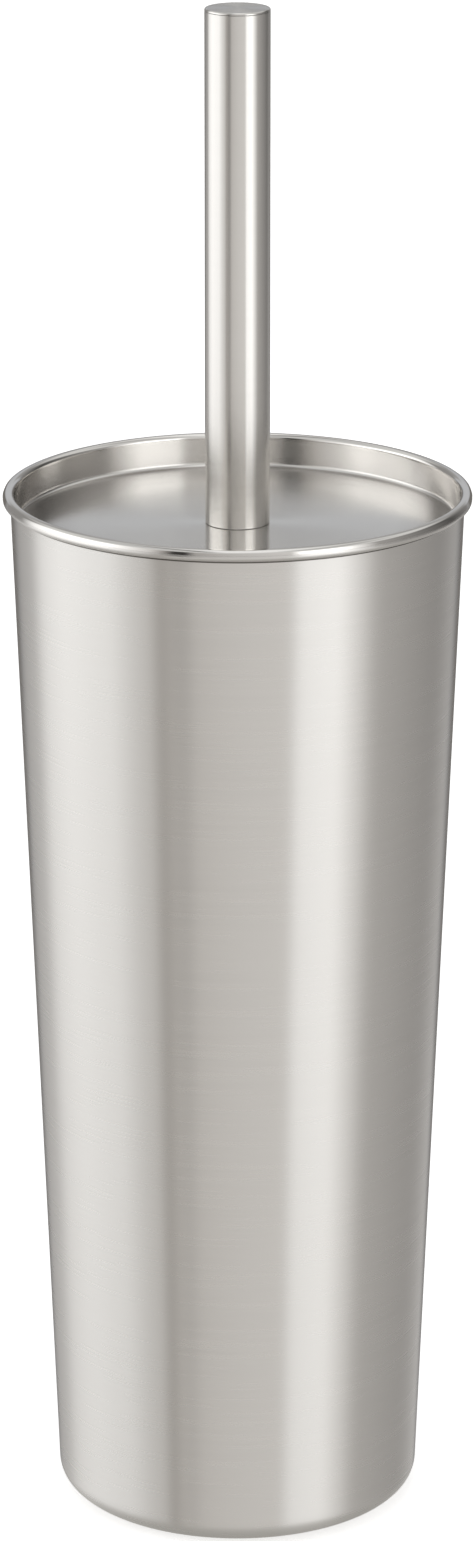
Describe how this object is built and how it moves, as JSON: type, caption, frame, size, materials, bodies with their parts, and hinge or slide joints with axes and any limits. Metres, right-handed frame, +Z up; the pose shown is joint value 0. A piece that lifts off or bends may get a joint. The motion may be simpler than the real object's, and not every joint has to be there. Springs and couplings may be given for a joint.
{
  "type": "toilet brush and holder",
  "caption": "Tapered brushed-steel canister with a rolled rim, closed by a recessed lid that carries a tube handle, a stem and a round brush head.",
  "frame": {"origin": "on the ground, under the middle of the canister, on the underside of the foot pad", "axes": "+Z up along the axis that the canister, lid, handle and brush share; -Y is the front. The object is round, so X and Y are interchangeable."},
  "size_m": [0.116, 0.116, 0.385],
  "materials": {
    "brushed_steel": "satin",
    "plated_steel": "satin",
    "black_rubber": "matte",
    "grey_plastic": "satin",
    "white_plastic": "satin",
    "white_nylon": "matte"
  },
  "bodies": {
    "holder": {"canister_shell": "brushed_steel", "foot_pad": "black_rubber"},
    "cup": {"drip_cup": "grey_plastic"},
    "brush": {"lid_dish": "brushed_steel", "lid_washer": "black_rubber", "backing_washer": "plated_steel", "clamp_nut": "plated_steel", "threaded_stud": "plated_steel", "handle_tube": "brushed_steel", "handle_cap": "brushed_steel", "handle_insert": "plated_steel", "stem_tube": "brushed_steel", "stem_insert": "plated_steel", "stem_end_screw": "plated_steel"},
    "head": {"brush_core": "white_plastic", "bristle_row_1": "white_nylon", "bristle_row_2": "white_nylon", "bristle_row_3": "white_nylon", "bristle_row_4": "white_nylon", "bristle_row_5": "white_nylon", "bristle_row_6": "white_nylon", "bristle_row_7": "white_nylon", "bristle_row_8": "white_nylon", "bristle_tip": "white_nylon"}
  },
  "joints": [
    {"name": "cup_lift", "type": "slide", "parent": "holder", "child": "cup", "axis": [0, 0, 1], "range_m": [0, 0.266]},
    {"name": "brush_lift", "type": "slide", "parent": "cup", "child": "brush", "axis": [0, 0, 1], "range_m": [0, 0.269]},
    {"name": "head_unscrew", "type": "hinge", "parent": "brush", "child": "head", "pos_m": [0, 0, 0.1085], "axis": [0, 0, -1], "range_deg": [0, 3600]}
  ]
}
